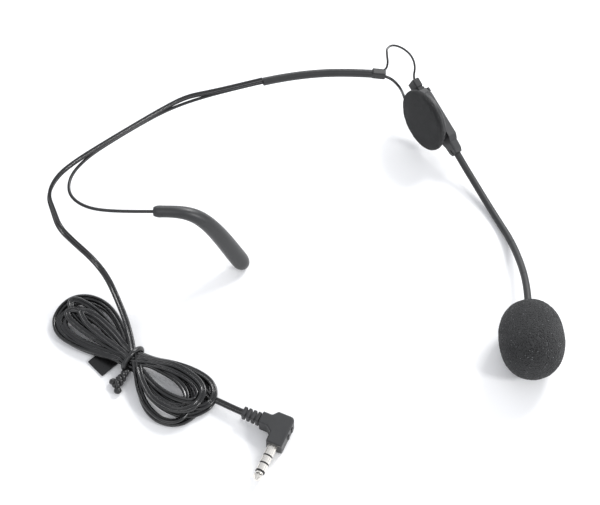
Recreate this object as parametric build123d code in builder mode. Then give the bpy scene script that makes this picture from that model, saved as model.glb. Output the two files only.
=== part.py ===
"""Behind-the-neck headset microphone: wire neckband, temple pad, gooseneck boom and cable."""

from build123d import *
from math import cos, pi, radians, sin, tan
import os

os.makedirs("parts", exist_ok=True)

# ---- neckband -------------------------------------------------------------
arm_height = 36.0
wire_radius = 0.6
bend_centre = (-89.7, 1.0, arm_height)
bend_seat_gap = 0.12

# ---- ear tip --------------------------------------------------------------
tip_end_radius = 3.35

# ---- sleeve over the wire and the lead ------------------------------------
sleeve_outer_radius = 1.6
sleeve_bore_radius = 1.2
sleeve_rise = 0.35
lead_rise = 1.08
lead_radius = 0.45
clip_length = 5.2
clip_width = 3.8
clip_height = 3.7

# ---- temple pad, measured along the pad normal from the foam face ---------
pad_centre = (42.7, 47.1, 15.3)
pad_normal = (-0.835, -0.545, 0.075)
housing_run = (0.493, -0.801, -0.339)
pad_radius = 12.6
foam_thickness = 3.0
foam_edge_fillet = 1.3
disc_radius = 11.3
disc_thickness = 2.0
washer_radius = 3.6
washer_thickness = 0.3
pivot_radius = 1.1
pivot_fit = 0.05
pivot_head_radius = 2.3
pivot_head_height = 0.8
nut_radius = 2.0
nut_height = 0.8

# ---- boom housing ---------------------------------------------------------
housing_near = -5.6
housing_split = -8.2
housing_far = -9.4
housing_floor = 1.1
cover_skin = 0.7
housing_wall = 1.0
boss_radius = 1.5
screw_radius = 0.6
screw_head_radius = 1.2
screw_head_height = 0.5
screw_depth = 2.6
screw_places = ((-5.6, 0.0), (9.9, 0.0))
board_size = (5.6, 4.6, 0.6)
board_centre = (5.4, 0.0)
grommet_start = -16.2
grommet_end = -11.0
clamp_start = 13.2
clamp_end = 18.2

# ---- gooseneck and microphone head ----------------------------------------
boom_axis_depth = -7.3
boom_radius = 1.25
joint_gap = 0.05
mic_centre = (78.6, -50.2, 12.15)
mic_axis = (-0.04, -0.985, 0.168)
screen_radius = 12.0
screen_half_length = 15.2
screen_bore_radius = 3.5
screen_bore_end = 6.4
holder_radius = 3.42
capsule_radius = 3.0

# ---- cable, hank and plug -------------------------------------------------
cable_radius = 0.9
hank_height = 7.6
hank_edge = 2.3
tie_centre = (-65.6, -54.3, 4.75)
tie_direction = (0.817, -0.577, 0.0)
tie_section = 0.95
tie_half_width = 4.75
tie_half_height = 3.75
label_length = 8.4
label_width = 9.0
label_thickness = 0.7
plug_centre = (-11.4, -81.4, 3.6)
plug_direction = (-0.4067, -0.9135, 0.0)
plug_radius = 1.75
plug_thickness = 6.4
shell_face = 7.9
contact_lengths = {"sleeve": 3.7, "ring": 2.5, "insulator": 0.6, "tip": 3.5}


pad_plane = Plane(origin=pad_centre, x_dir=housing_run, z_dir=pad_normal)
pad_axis = Axis(pad_centre, pad_normal)
mic_plane = Plane(origin=mic_centre, x_dir=(1, 0, 0), z_dir=mic_axis)
plug_plane = Plane(origin=plug_centre, x_dir=(0, 0, 1), z_dir=plug_direction)


def on_pad(x, y, z):
    """A point given along the housing, across it and along the pad normal."""
    return pad_plane.from_local_coords((x, y, z))


def depth(z):
    """The pad plane moved along its normal."""
    return pad_plane.offset(z)


def end_plane(path, place):
    """The plane square to a path at a place from 0 to 1."""
    return Plane(origin=path @ place, z_dir=path % place)


def cord_radii(points):
    """Corner radii that leave a straight piece between each pair of bends."""
    radii = []
    for before, corner, after in zip(points, points[1:], points[2:]):
        run_in = Vector(*corner) - Vector(*before)
        run_out = Vector(*after) - Vector(*corner)
        turn = radians(run_in.get_angle(run_out))
        radii.append(0.45 * min(run_in.length, run_out.length) / tan(turn / 2))
    return radii


def save(block, name):
    """Label a sub-part and write its file."""
    block.part.label = name
    export_step(block.part, f"parts/{name}.step")


def report_cord(name, block, path, radii, radius):
    """Print the bend radii and how the tube's volume compares with its length."""
    ideal = pi * radius ** 2 * path.length
    print(name, "length", round(path.length, 1), "smallest bend", round(min(radii), 1),
          "volume ratio", round(block.part.volume / ideal, 4))


# ---------------------------------------------------------------------------
# Neckband: one spring wire, parted at the middle of the rear bend
# ---------------------------------------------------------------------------
disc_wire_points = [
    on_pad(-3.0, -8.8, -4.0),
    on_pad(-6.5, -8.9, -4.0),
    on_pad(-9.8, -8.7, -4.0),
    on_pad(-12.7, -7.2, -3.7),
    on_pad(-14.5, -4.3, -2.6),
]
arc_points = [(35.2, 57.4, 23.2), (33.2, 54.3, 30.0), (31.0, 53.3, 34.0)]
far_arm_points = [
    (28.0, 53.5, 35.8),
    (23.8, 54.1, arm_height),
    (14.5, 54.6, arm_height),
    (5.6, 54.5, arm_height),
    (-6.9, 53.0, arm_height),
    (-19.3, 50.1, arm_height),
    (-28.1, 47.4, arm_height),
    (-39.9, 43.5, arm_height),
    (-49.0, 39.8, arm_height),
    (-57.5, 35.2, arm_height),
    (-66.6, 28.5, arm_height),
    (-74.1, 22.5, arm_height),
    (-81.9, 15.9, arm_height),
    (-86.6, 10.4, arm_height),
    (-89.1, 5.6, arm_height),
    bend_centre,
]
near_arm_points = [
    bend_centre,
    (-89.0, -2.6, arm_height),
    (-86.9, -5.6, arm_height),
    (-83.5, -8.0, arm_height),
    (-78.9, -9.7, arm_height),
    (-72.5, -10.5, arm_height),
    (-65.3, -10.7, arm_height),
    (-57.4, -10.7, arm_height),
    (-50.0, -10.6, 35.6),
    (-45.0, -10.5, 34.1),
    (-41.2, -10.4, 30.8),
]

with BuildPart() as neckband_wire:
    far_wire_points = [*disc_wire_points, *arc_points, *far_arm_points]
    with BuildLine() as far_line:
        FilletPolyline(*far_wire_points, radius=cord_radii(far_wire_points))
    with BuildSketch(end_plane(far_line.line, 0)):
        Circle(wire_radius)
    sweep()
    with Locations(bend_centre):
        Sphere(wire_radius + bend_seat_gap, rotation=(0, 90, 0), mode=Mode.SUBTRACT)
save(neckband_wire, "neckband_wire")

with BuildPart() as near_arm_wire:
    with BuildLine() as near_line:
        FilletPolyline(*near_arm_points, radius=cord_radii(near_arm_points))
    with BuildSketch(end_plane(near_line.line, 0)):
        Circle(wire_radius)
    sweep()
save(near_arm_wire, "near_arm_wire")

# Ear tip: a soft temple end pressed over the wire, swelling towards its round tip
tip_points = [
    (-58.0, -10.7, arm_height),
    (-53.8, -10.7, arm_height),
    (-49.9, -10.6, 35.6),
    (-46.0, -10.5, 34.5),
    (-42.5, -10.4, 32.1),
    (-39.1, -10.4, 27.9),
    (-35.5, -10.7, 21.7),
    (-31.5, -11.1, 12.8),
    (-27.4, -11.5, 3.45),
]
tip_sections = [
    (0.0, 1.6),
    (0.012, 2.1),
    (0.08, 2.12),
    (0.2, 2.25),
    (0.32, 2.5),
    (0.44, 2.85),
    (0.56, 3.1),
    (0.7, 3.3),
    (0.85, tip_end_radius),
    (1.0, tip_end_radius),
]
tip_cap_angles = [22.5, 45.0, 67.5, 82.0]

with BuildPart() as ear_tip:
    with BuildLine() as tip_line:
        Spline(*tip_points)
    for place, radius in tip_sections:
        with BuildSketch(end_plane(tip_line.line, place)):
            Circle(radius)
    for angle in tip_cap_angles:
        with BuildSketch(end_plane(tip_line.line, 1).offset(tip_end_radius * sin(radians(angle)))):
            Circle(tip_end_radius * cos(radians(angle)))
    loft(ruled=True)
save(ear_tip, "ear_tip")

# ---------------------------------------------------------------------------
# Slack lead: from inside the sleeve, round the loop, into the housing
# ---------------------------------------------------------------------------
lead_height = arm_height + lead_rise
lead_points = [
    (-16.0, 51.0, lead_height),
    (-6.9, 53.1, lead_height),
    (5.6, 54.6, lead_height),
    (17.0, 54.5, lead_height),
    (24.6, 54.1, lead_height),
    (28.0, 54.6, 37.3),
    (29.3, 57.6, 38.2),
    (28.9, 61.4, 39.3),
    (29.0, 64.6, 39.8),
    (31.7, 66.9, 38.9),
    (36.0, 67.9, 35.6),
    (39.7, 67.8, 31.0),
    (41.2, 66.2, 26.4),
    on_pad(-17.2, 1.2, -7.2),
    on_pad(-14.4, 0.4, -7.2),
]

with BuildPart() as slack_lead:
    lead_radii = cord_radii(lead_points)
    with BuildLine() as lead_line:
        FilletPolyline(*lead_points, radius=lead_radii)
    with BuildSketch(end_plane(lead_line.line, 0)):
        Circle(lead_radius)
    sweep()
save(slack_lead, "slack_lead")
report_cord("slack_lead", slack_lead, lead_line.wire(), lead_radii, lead_radius)

with BuildPart() as arm_sleeve:
    with BuildLine() as sleeve_line:
        sleeve_points = [(x, y, z + sleeve_rise) for x, y, z in far_arm_points[1:6]]
        Spline(*sleeve_points)
    with BuildSketch(end_plane(sleeve_line.line, 0)):
        Circle(sleeve_outer_radius)
        Circle(sleeve_bore_radius, mode=Mode.SUBTRACT)
    sweep()
save(arm_sleeve, "arm_sleeve")

clip_plane = Plane(origin=(24.0, 54.2, 36.4), x_dir=(0, 1, 0), z_dir=(0.985, -0.02, -0.12))
with BuildPart() as sleeve_clip:
    with BuildSketch(clip_plane):
        RectangleRounded(clip_width, clip_height, 1.0)
    extrude(amount=clip_length)
    chamfer(sleeve_clip.faces().sort_by(Axis.X)[-1].edges(), 0.5)
    add(slack_lead.part, mode=Mode.SUBTRACT)
    add(arm_sleeve.part, mode=Mode.SUBTRACT)
save(sleeve_clip, "sleeve_clip")

# ---------------------------------------------------------------------------
# Temple pad and the pivot that carries the boom housing
# ---------------------------------------------------------------------------
disc_near = -foam_thickness
disc_far = disc_near - disc_thickness
washer_far = disc_far - washer_thickness
floor_inside = housing_near - housing_floor
nut_near = floor_inside - 0.3
nut_far = nut_near - nut_height

with BuildPart() as pad_foam:
    with BuildSketch(depth(disc_near)):
        Circle(pad_radius)
    extrude(amount=foam_thickness)
    fillet(pad_foam.faces().sort_by(pad_axis)[-1].edges(), foam_edge_fillet)
save(pad_foam, "pad_foam")

with BuildPart() as pivot_screw:
    with BuildSketch(depth(disc_near - pivot_head_height)):
        Circle(pivot_head_radius)
    extrude(amount=pivot_head_height)
    with BuildSketch(depth(disc_near - pivot_head_height)):
        Circle(pivot_radius)
    extrude(amount=nut_far - (disc_near - pivot_head_height) - 0.2)
save(pivot_screw, "pivot_screw")

with BuildPart() as pad_disc:
    with BuildSketch(depth(disc_far)):
        Circle(disc_radius)
    extrude(amount=disc_thickness)
    chamfer(pad_disc.edges().sort_by(pad_axis)[0], 0.5)
    add(pivot_screw.part, mode=Mode.SUBTRACT)
    add(neckband_wire.part, mode=Mode.SUBTRACT)
save(pad_disc, "pad_disc")

with BuildPart() as pivot_washer:
    with BuildSketch(depth(washer_far)):
        Circle(washer_radius)
        Circle(pivot_radius, mode=Mode.SUBTRACT)
    extrude(amount=washer_thickness)
save(pivot_washer, "pivot_washer")

with BuildPart() as pivot_nut:
    with BuildSketch(depth(nut_far)):
        RegularPolygon(nut_radius, 6)
        Circle(pivot_radius, mode=Mode.SUBTRACT)
    extrude(amount=nut_height)
save(pivot_nut, "pivot_nut")

# ---------------------------------------------------------------------------
# Boom housing: two shells, cable grommet, board, clamp and screws
# ---------------------------------------------------------------------------
housing_outline = [
    (grommet_end, -3.0),
    (-9.0, -4.4),
    (9.5, -4.4),
    (clamp_start, -3.1),
    (clamp_start, 3.1),
    (11.2, 4.6),
    (-8.2, 4.6),
    (-9.2, 3.6),
    (grommet_end, 3.0),
]


with BuildSketch() as housing_profile:
    with BuildLine():
        Polyline(*housing_outline, close=True)
    make_face()

with BuildSketch() as housing_inside:
    add(housing_profile.sketch)
    offset(amount=-housing_wall, mode=Mode.REPLACE)

with BuildPart() as housing_base:
    with BuildSketch(depth(housing_near)):
        add(housing_profile.sketch)
    extrude(amount=housing_split - housing_near)
    with BuildSketch(depth(floor_inside)):
        add(housing_inside.sketch)
    extrude(amount=housing_split - floor_inside, mode=Mode.SUBTRACT)
    with BuildSketch(depth(floor_inside)):
        with Locations(*screw_places):
            Circle(boss_radius)
    extrude(amount=housing_split - floor_inside)
    with BuildSketch(depth(housing_near)):
        Circle(pivot_radius + pivot_fit)
    extrude(amount=-housing_floor, mode=Mode.SUBTRACT)
    with BuildSketch(depth(housing_split)):
        with Locations(*screw_places):
            Circle(screw_radius)
    extrude(amount=screw_depth - (housing_split - housing_far), mode=Mode.SUBTRACT)
    with BuildSketch(Plane(origin=on_pad(8.6, 0, housing_near), x_dir=pad_plane.x_dir,
                           z_dir=pad_plane.y_dir).offset(-0.5)):
        with BuildLine():
            Polyline((-4.2, 0), (4.4, 0), (4.4, 1.7), close=True)
        make_face()
    extrude(amount=1.0)
save(housing_base, "housing_base")

with BuildPart() as housing_cover:
    with BuildSketch(depth(housing_far)):
        add(housing_profile.sketch)
    extrude(amount=housing_split - housing_far)
    chamfer(housing_cover.faces().sort_by(pad_axis)[0].edges(), 0.45)
    with BuildSketch(depth(housing_split)):
        add(housing_inside.sketch)
        with Locations(*screw_places):
            Circle(boss_radius, mode=Mode.SUBTRACT)
    extrude(amount=-(housing_split - housing_far - cover_skin), mode=Mode.SUBTRACT)
    with BuildSketch(depth(housing_far)):
        with Locations((-9.8, 2.2)):
            RectangleRounded(1.9, 2.2, 0.4)
    extrude(amount=-0.7)
    with BuildSketch(depth(housing_far)):
        with Locations(*screw_places):
            Circle(screw_head_radius)
    extrude(amount=screw_head_height, mode=Mode.SUBTRACT)
    with BuildSketch(depth(housing_far)):
        with Locations(*screw_places):
            Circle(screw_radius)
    extrude(amount=housing_split - housing_far, mode=Mode.SUBTRACT)
save(housing_cover, "housing_cover")

with BuildPart() as housing_screws:
    with BuildSketch(depth(housing_far)):
        with Locations(*screw_places):
            Circle(screw_head_radius)
    extrude(amount=screw_head_height)
    with BuildSketch(depth(housing_far + screw_head_height)):
        with Locations(*screw_places):
            Circle(screw_radius)
    extrude(amount=screw_depth - screw_head_height)
    with BuildSketch(depth(housing_far)):
        with Locations(*screw_places):
            Rectangle(1.5, 0.3)
            Rectangle(0.3, 1.5)
    extrude(amount=0.3, mode=Mode.SUBTRACT)
save(housing_screws, "housing_screws")

with BuildPart() as junction_board:
    with BuildSketch(depth(housing_split + 0.1)):
        with Locations(board_centre):
            Rectangle(board_size[0], board_size[1])
    extrude(amount=-board_size[2])
save(junction_board, "junction_board")

grommet_plane = Plane(origin=on_pad(grommet_end, 0, -7.15), x_dir=pad_plane.y_dir, z_dir=-pad_plane.x_dir)
with BuildPart() as cable_grommet:
    with BuildSketch(grommet_plane):
        RectangleRounded(5.6, 3.1, 0.5)
    extrude(amount=1.0)
    with BuildSketch(grommet_plane.offset(1.0)):
        RectangleRounded(4.9, 2.8, 0.5)
    extrude(amount=0.8)
    with BuildSketch(grommet_plane.offset(1.8)):
        RectangleRounded(5.6, 3.1, 0.5)
    extrude(amount=grommet_end - grommet_start - 1.8)
    with BuildLine():
        Line(on_pad(-19.0, 1.7, -7.2), on_pad(-14.2, 0.34, -7.2))
    with BuildSketch(Plane(origin=on_pad(-19.0, 1.7, -7.2),
                           z_dir=on_pad(-14.2, 0.34, -7.2) - on_pad(-19.0, 1.7, -7.2))):
        Circle(lead_radius + 0.1)
    sweep(mode=Mode.SUBTRACT)
save(cable_grommet, "cable_grommet")

# ---------------------------------------------------------------------------
# Gooseneck: five links on a chain of ball-shaped joints
# ---------------------------------------------------------------------------
boom_points = [
    on_pad(14.2, 0, boom_axis_depth),
    on_pad(clamp_end, 0, boom_axis_depth),
    (60.6, 31.8, 6.4),
    (64.8, 24.5, 4.0),
    (69.0, 16.4, 2.3),
    (73.0, 8.2, 1.45),
    (76.3, 0.2, 2.1),
    (78.4, -8.8, 4.0),
    (79.6, -19.0, 6.7),
    (79.7, -29.0, 9.0),
    mic_plane.from_local_coords((0, 0, -9.0)),
]
link_places = [0.0, 0.14, 0.345, 0.55, 0.755, 1.0]

with BuildLine() as boom_line:
    Spline(*boom_points, tangents=[pad_plane.x_dir, mic_axis])

links = []
for number in range(5):
    stretch = boom_line.edge().trim(link_places[number], link_places[number + 1])
    with BuildPart() as gooseneck_link:
        with BuildLine():
            add(stretch)
        with BuildSketch(end_plane(stretch, 0)):
            Circle(boom_radius)
        sweep()
        if number > 0:
            with Locations(stretch @ 0):
                Sphere(boom_radius)
        if number < 4:
            with Locations(stretch @ 1):
                Sphere(boom_radius + joint_gap, mode=Mode.SUBTRACT)
    save(gooseneck_link, f"gooseneck_{number + 1}")
    print("gooseneck joint", number, tuple(stretch @ 0))
    links.append(gooseneck_link)

clamp_plane = Plane(origin=on_pad(clamp_start, 0, boom_axis_depth), x_dir=pad_plane.y_dir, z_dir=pad_plane.x_dir)
with BuildPart() as boom_clamp:
    with BuildSketch(clamp_plane):
        RectangleRounded(6.0, 3.9, 0.8)
    with BuildSketch(clamp_plane.offset(3.6)):
        RectangleRounded(5.6, 3.7, 0.8)
    with BuildSketch(clamp_plane.offset(clamp_end - clamp_start)):
        RectangleRounded(4.2, 3.2, 0.8)
    loft(ruled=True)
    with BuildSketch(clamp_plane.offset(2.4)):
        Rectangle(0.7, 6.0)
    extrude(amount=clamp_end - clamp_start, mode=Mode.SUBTRACT)
    add(links[0].part, mode=Mode.SUBTRACT)
save(boom_clamp, "boom_clamp")

# Microphone head on the last link
with BuildPart() as mic_collar:
    with BuildSketch(mic_plane.offset(-12.0)):
        Circle(1.7)
    with BuildSketch(mic_plane.offset(-6.0)):
        Circle(3.1)
    loft()
    add(links[4].part, mode=Mode.SUBTRACT)
save(mic_collar, "mic_collar")

with BuildPart() as mic_holder:
    with BuildSketch(mic_plane.offset(-6.0)):
        Circle(holder_radius)
    extrude(amount=12.0)
    with BuildSketch(mic_plane.offset(0.2)):
        Circle(capsule_radius)
    extrude(amount=5.8, mode=Mode.SUBTRACT)
    with BuildSketch(mic_plane.offset(-6.0)):
        Circle(0.8)
    extrude(amount=6.2, mode=Mode.SUBTRACT)
save(mic_holder, "mic_holder")

with BuildPart() as mic_gasket:
    with BuildSketch(mic_plane.offset(0.2)):
        Circle(capsule_radius)
        Circle(2.0, mode=Mode.SUBTRACT)
    extrude(amount=0.7)
save(mic_gasket, "mic_gasket")

with BuildPart() as mic_capsule:
    with BuildSketch(mic_plane.offset(0.9)):
        Circle(capsule_radius)
    extrude(amount=3.6)
    with BuildSketch(mic_plane.offset(4.3)):
        Circle(0.7)
    extrude(amount=0.2, mode=Mode.SUBTRACT)
save(mic_capsule, "mic_capsule")

with BuildPart() as mic_grille:
    with BuildSketch(mic_plane.offset(4.6)):
        Circle(capsule_radius)
        with PolarLocations(1.7, 6):
            Circle(0.45, mode=Mode.SUBTRACT)
        Circle(0.45, mode=Mode.SUBTRACT)
    extrude(amount=0.6)
save(mic_grille, "mic_grille")

with BuildPart() as windscreen:
    with BuildSketch(Plane(origin=mic_centre, x_dir=mic_plane.z_dir, z_dir=mic_plane.x_dir)):
        Ellipse(screen_half_length, screen_radius)
        Rectangle(4 * screen_half_length, screen_radius, align=(Align.CENTER, Align.MAX), mode=Mode.SUBTRACT)
    revolve(axis=Axis(mic_centre, mic_plane.z_dir))
    with BuildSketch(mic_plane.offset(-screen_half_length)):
        Circle(screen_bore_radius)
    extrude(amount=screen_half_length + screen_bore_end, mode=Mode.SUBTRACT)
save(windscreen, "windscreen")

# ---------------------------------------------------------------------------
# Cable: along the arm, down to the table, the tied hank, and the tail
# ---------------------------------------------------------------------------
cable_height = arm_height + wire_radius + cable_radius + 0.1
arm_cable_points = [
    (-19.6, 50.0, cable_height),
    (-29.0, 47.0, cable_height),
    (-39.5, 43.9, cable_height),
    (-48.6, 41.6, cable_height),
    (-57.3, 35.6, cable_height),
    (-66.5, 28.4, cable_height),
    (-78.0, 19.2, cable_height),
    (-88.0, 10.8, cable_height),
    (-94.2, 4.0, cable_height),
    (-97.0, -3.6, 36.6),
    (-94.9, -8.6, 33.2),
]
drop_points = [
    (-94.9, -8.6, 33.2),
    (-92.8, -13.6, 29.8),
    (-88.4, -15.5, 23.5),
    (-82.0, -17.9, 15.4),
    (-77.0, -22.3, 9.9),
    (-72.9, -30.4, 7.4),
    (-69.0, -39.6, 7.0),
    (-66.6, -47.6, 6.6),
]
tail_points = [
    (-38.0, -68.6, 2.6),
    (-33.5, -70.8, 2.9),
    (-28.6, -73.6, 3.4),
    (-24.9, -75.4, 3.6),
]

with BuildPart() as cable_arm:
    arm_radii = cord_radii(arm_cable_points)
    with BuildLine() as arm_cable_line:
        FilletPolyline(*arm_cable_points, radius=arm_radii)
    with BuildSketch(end_plane(arm_cable_line.line, 0)):
        Circle(cable_radius)
    sweep()
save(cable_arm, "cable_arm")
report_cord("cable_arm", cable_arm, arm_cable_line.wire(), arm_radii, cable_radius)

# Hank: the outer shape of the tied turns, waisted under the tie
hank_outline = [
    (-66.6, -50.0),
    (-71.2, -37.6),
    (-76.1, -30.6),
    (-81.3, -26.8),
    (-86.7, -25.4),
    (-92.0, -27.0),
    (-95.9, -31.6),
    (-97.0, -37.3),
    (-94.4, -43.6),
    (-87.5, -48.2),
    (-79.9, -51.9),
    (-73.4, -54.8),
    (-68.2, -58.8),
    (-65.3, -62.6),
    (-63.9, -69.5),
    (-61.2, -75.0),
    (-57.0, -78.4),
    (-50.6, -80.9),
    (-44.8, -79.2),
    (-39.4, -73.9),
    (-35.6, -68.8),
    (-36.4, -64.0),
    (-40.2, -58.4),
    (-47.6, -53.3),
    (-56.2, -51.3),
    (-62.4, -49.4),
]
tie_plane = Plane(origin=tie_centre, x_dir=(0.577, 0.817, 0), z_dir=tie_direction)
label_plane = Plane(origin=(-82.8, -53.3, 0.1), x_dir=(0.70, -0.714, 0), z_dir=(0, 0, 1))

with BuildPart() as tie_loop:
    with BuildLine(tie_plane) as tie_line:
        EllipticalCenterArc((0, 0), tie_half_width, tie_half_height, arc_size=360)
    with BuildSketch(end_plane(tie_line.line, 0)):
        Circle(tie_section)
    sweep()
save(tie_loop, "tie_loop")

with BuildPart() as cable_label:
    with BuildSketch(label_plane):
        Rectangle(label_length, label_width, align=(Align.MIN, Align.MIN))
    extrude(amount=label_thickness)
    fillet(cable_label.edges().filter_by(Axis.Z), 0.6)
save(cable_label, "cable_label")

with BuildPart() as cable_hank:
    with BuildSketch():
        with BuildLine():
            Spline(*hank_outline, periodic=True)
        make_face()
    extrude(amount=hank_height)
    chamfer(cable_hank.edges().group_by(Axis.Z)[-1], hank_edge)
    chamfer(cable_hank.edges().group_by(Axis.Z)[0], 1.4)
    with BuildSketch(tie_plane.offset(-1.15)):
        Rectangle(30, 30)
        Ellipse(tie_half_width - tie_section - 0.05, tie_half_height - tie_section - 0.05, mode=Mode.SUBTRACT)
    extrude(amount=2.3, mode=Mode.SUBTRACT)
    with BuildSketch(label_plane.offset(-0.2)):
        with Locations((-0.2, -0.2)):
            Rectangle(label_length + 0.4, label_width + 0.4, align=(Align.MIN, Align.MIN))
    extrude(amount=label_thickness + 0.3, mode=Mode.SUBTRACT)
save(cable_hank, "cable_hank")

with BuildPart() as cable_drop:
    drop_radii = cord_radii(drop_points)
    with BuildLine() as drop_line:
        FilletPolyline(*drop_points, radius=drop_radii)
    with BuildSketch(end_plane(drop_line.line, 0)):
        Circle(cable_radius)
    sweep()
    report_cord("cable_drop", cable_drop, drop_line.wire(), drop_radii, cable_radius)
    add(cable_hank.part, mode=Mode.SUBTRACT)
    add(tie_loop.part, mode=Mode.SUBTRACT)
save(cable_drop, "cable_drop")

with BuildPart() as cable_tail:
    tail_radii = cord_radii(tail_points)
    with BuildLine() as tail_line:
        FilletPolyline(*tail_points, radius=tail_radii)
    with BuildSketch(end_plane(tail_line.line, 0)):
        Circle(cable_radius)
    sweep()
    report_cord("cable_tail", cable_tail, tail_line.wire(), tail_radii, cable_radius)
    add(cable_hank.part, mode=Mode.SUBTRACT)
save(cable_tail, "cable_tail")

# Twisted ends of the tie
with BuildPart() as tie_knot:
    with Locations((-69.2, -60.9, 2.5)):
        Sphere(1.8)
    with BuildLine() as first_end:
        Spline((-69.2, -60.9, 2.5), (-71.4, -61.0, 2.7), (-73.2, -61.9, 1.5))
    with BuildSketch(end_plane(first_end.line, 0)):
        Circle(0.9)
    sweep()
    with Locations(first_end.line @ 1):
        Sphere(1.2)
    with BuildLine() as second_end:
        Spline((-69.2, -60.9, 2.5), (-70.2, -63.4, 2.6), (-70.9, -65.6, 1.6))
    with BuildSketch(end_plane(second_end.line, 0)):
        Circle(0.9)
    sweep(path=second_end.line)
    with Locations(second_end.line @ 1):
        Sphere(1.3)
    add(cable_hank.part, mode=Mode.SUBTRACT)
    add(tie_loop.part, mode=Mode.SUBTRACT)
save(tie_knot, "tie_knot")

# ---------------------------------------------------------------------------
# Right-angle plug
# ---------------------------------------------------------------------------
boot_plane = Plane(origin=plug_centre, x_dir=(0, 0, 1), z_dir=(0.9135, -0.4067, 0))
rib_starts = [-15.0, -13.2, -11.4, -9.6]

with BuildPart() as plug_boot:
    with BuildSketch(boot_plane.offset(-15.3)):
        Circle(1.45)
    extrude(amount=7.3)
    for place in rib_starts:
        with BuildSketch(boot_plane.offset(place)):
            RectangleRounded(4.2, 3.9, 1.3)
        extrude(amount=1.2)
    add(cable_tail.part, mode=Mode.SUBTRACT)
save(plug_boot, "plug_boot")

shell_outline = [
    (-4.2, -3.0),
    (-4.2, 3.5),
    (shell_face, 3.5),
    (shell_face, -2.6),
    (4.0, -2.6),
    (2.4, -4.6),
    (2.4, -8.0),
    (-2.2, -8.0),
    (-2.2, -4.6),
]
shell_plane = Plane(origin=(plug_centre[0], plug_centre[1], plug_centre[2] - plug_thickness / 2),
                    x_dir=plug_direction, z_dir=(0, 0, 1))
with BuildPart() as plug_shell:
    with BuildSketch(shell_plane):
        with BuildLine():
            Polyline(*shell_outline, close=True)
        make_face()
        fillet(vertices().group_by(Axis.X)[0].sort_by(Axis.Y)[-1], 1.5)
    extrude(amount=plug_thickness)
    chamfer(plug_shell.faces().sort_by(Axis.Z)[-1].edges(), 0.5)
    chamfer(plug_shell.faces().sort_by(Axis.Z)[0].edges(), 0.4)
save(plug_shell, "plug_shell")

reach = shell_face
order = ["sleeve", "insulator", "ring", "insulator", "ring", "insulator"]
names = ["plug_sleeve", "", "plug_ring_2", "", "plug_ring_1", ""]
insulator_starts = []
contact_starts = []
for kind, name in zip(order, names):
    if kind == "insulator":
        insulator_starts.append(reach)
    else:
        contact_starts.append((name, reach, contact_lengths[kind]))
    reach += contact_lengths[kind]

for name, start, length in contact_starts:
    with BuildPart() as contact:
        with BuildSketch(plug_plane.offset(start)):
            Circle(plug_radius)
        extrude(amount=length)
    save(contact, name)

with BuildPart() as plug_insulators:
    for start in insulator_starts:
        with BuildSketch(plug_plane.offset(start)):
            Circle(plug_radius)
        extrude(amount=contact_lengths["insulator"])
save(plug_insulators, "plug_insulators")

with BuildPart() as plug_tip:
    with BuildSketch(Plane(origin=plug_centre, x_dir=plug_direction, z_dir=(0, 0, 1))):
        with BuildLine():
            Polyline(
                (reach, 0),
                (reach, 1.3),
                (reach + 0.6, 1.15),
                (reach + 1.5, 1.7),
                (reach + 1.9, 1.7),
                (reach + 3.2, 0.6),
                (reach + contact_lengths["tip"], 0),
                close=True,
            )
        make_face()
    revolve(axis=Axis(plug_centre, plug_direction))
save(plug_tip, "plug_tip")
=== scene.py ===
import bpy
import bmesh
import math
import random
from mathutils import Matrix, Vector, noise


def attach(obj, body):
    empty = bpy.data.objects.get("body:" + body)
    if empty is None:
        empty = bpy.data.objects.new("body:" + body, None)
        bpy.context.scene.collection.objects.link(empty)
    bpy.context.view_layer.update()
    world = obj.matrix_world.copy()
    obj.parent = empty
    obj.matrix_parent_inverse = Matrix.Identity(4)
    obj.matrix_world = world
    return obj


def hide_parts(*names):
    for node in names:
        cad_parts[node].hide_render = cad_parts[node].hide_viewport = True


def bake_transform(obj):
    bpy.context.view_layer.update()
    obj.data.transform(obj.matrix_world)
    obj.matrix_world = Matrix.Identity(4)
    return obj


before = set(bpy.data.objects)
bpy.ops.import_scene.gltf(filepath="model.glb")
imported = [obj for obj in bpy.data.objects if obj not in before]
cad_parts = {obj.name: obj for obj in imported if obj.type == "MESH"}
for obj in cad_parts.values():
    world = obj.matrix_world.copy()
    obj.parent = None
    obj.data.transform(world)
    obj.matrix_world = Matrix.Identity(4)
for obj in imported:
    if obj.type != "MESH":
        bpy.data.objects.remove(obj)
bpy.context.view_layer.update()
print("frame loaded,", len(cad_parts), "parts")

# camera, lights and floor

view = {
    "target": (-0.00495, -0.0138, 0.0135),
    "elevation": 57.0,
    "distance": 0.495,
    "lens": 79.2,
}
studio = {
    "worldColour": (0.93, 0.95, 1.0, 1),
    "worldStrength": 0.72,
    "floorColour": (0.93, 0.93, 0.93, 1),
    "keyPlace": (0.42, 0.50, 0.62),
    "keySize": 0.26,
    "keyPower": 4.6,
    "fillPlace": (-0.25, -0.65, 0.85),
    "fillSize": 0.7,
    "fillPower": 2.0,
    "sidePlace": (0.43, -0.25, 0.34),
    "sideSize": 0.10,
    "sidePower": 1.2,
    "stripPlace": (0.05, 0.75, 0.42),
    "stripSize": (0.9, 0.16),
    "stripPower": 2.5,
}


def areaLight(name, place, size, power, width=None):
    lamp = bpy.data.lights.new(name, "AREA")
    lamp.energy = power
    lamp.size = width or size
    if width:
        lamp.shape = "RECTANGLE"
        lamp.size_y = size
    obj = bpy.data.objects.new(name, lamp)
    bpy.context.scene.collection.objects.link(obj)
    obj.location = place
    obj.rotation_mode = "QUATERNION"
    obj.rotation_quaternion = (Vector(view["target"]) - Vector(place)).to_track_quat("-Z", "Y")
    return obj


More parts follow.
